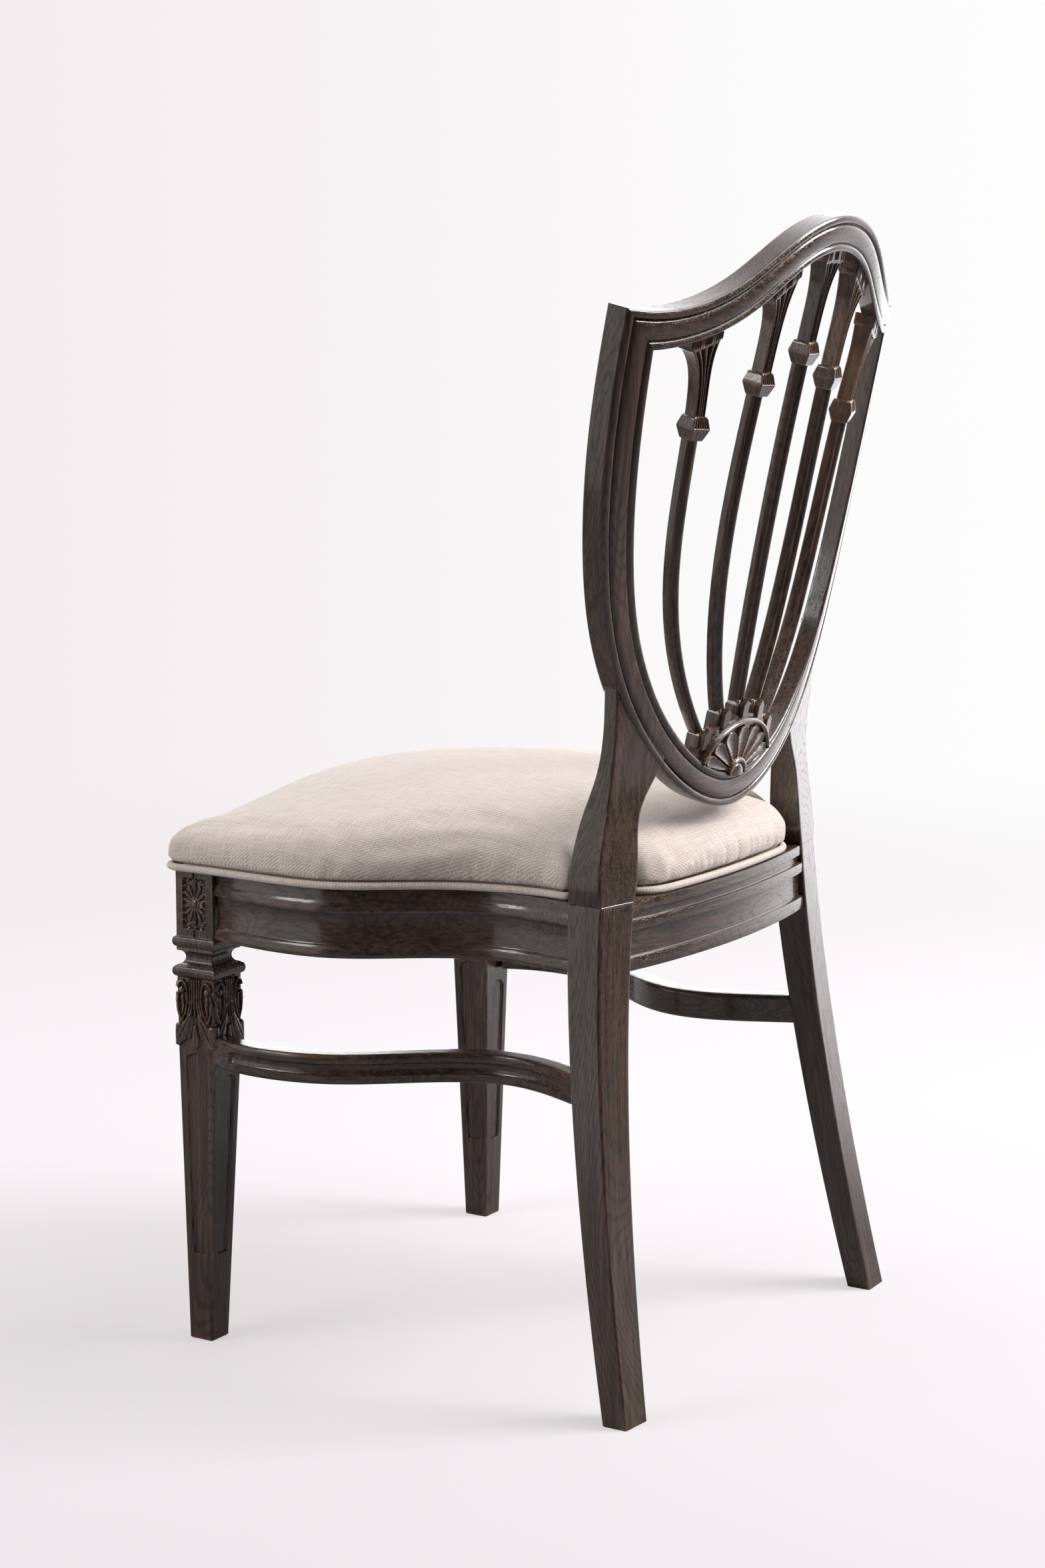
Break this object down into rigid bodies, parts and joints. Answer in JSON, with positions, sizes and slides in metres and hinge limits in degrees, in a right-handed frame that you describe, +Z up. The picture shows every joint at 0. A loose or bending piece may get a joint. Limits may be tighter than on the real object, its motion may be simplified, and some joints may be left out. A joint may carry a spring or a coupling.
{
  "type": "dining chair",
  "caption": "Wooden shield-back dining chair with carved fan and splats, square tapered front legs, sabre rear legs, curved side stretchers and a crowned upholstered seat.",
  "frame": {"origin": "on the floor, below the middle of the chair's box", "axes": "+Z up, +X towards the sitter's left, -Y the way the sitter faces"},
  "size_m": [0.5148, 0.544, 1.0045],
  "materials": {
    "oak": "satin",
    "inner_wood": "matte",
    "plywood": "matte",
    "linen": "matte",
    "screw_steel": "satin"
  },
  "bodies": {
    "root": {"front_leg_left": "oak", "front_leg_right": "oak", "rear_leg_left": "oak", "rear_leg_right": "oak", "back_stile_left": "oak", "back_stile_right": "oak", "crest_rail": "oak", "shield_bow": "oak", "fan_plinth": "oak", "splat_outer_left": "oak", "splat_outer_right": "oak", "splat_inner_left": "oak", "splat_inner_right": "oak", "splat_centre": "oak", "front_rail": "oak", "rear_rail": "oak", "side_rail_left": "oak", "side_rail_right": "oak", "side_stretcher_left": "oak", "side_stretcher_right": "oak", "corner_block_front_left": "inner_wood", "corner_block_front_right": "inner_wood", "corner_block_rear_left": "inner_wood", "corner_block_rear_right": "inner_wood", "post_dowels": "inner_wood", "crest_dowels": "inner_wood", "bow_dowels": "inner_wood", "seat_board": "plywood", "seat_cushion": "linen", "seat_piping": "linen", "corner_screws": "screw_steel", "seat_screws": "screw_steel"}
  },
  "joints": []
}
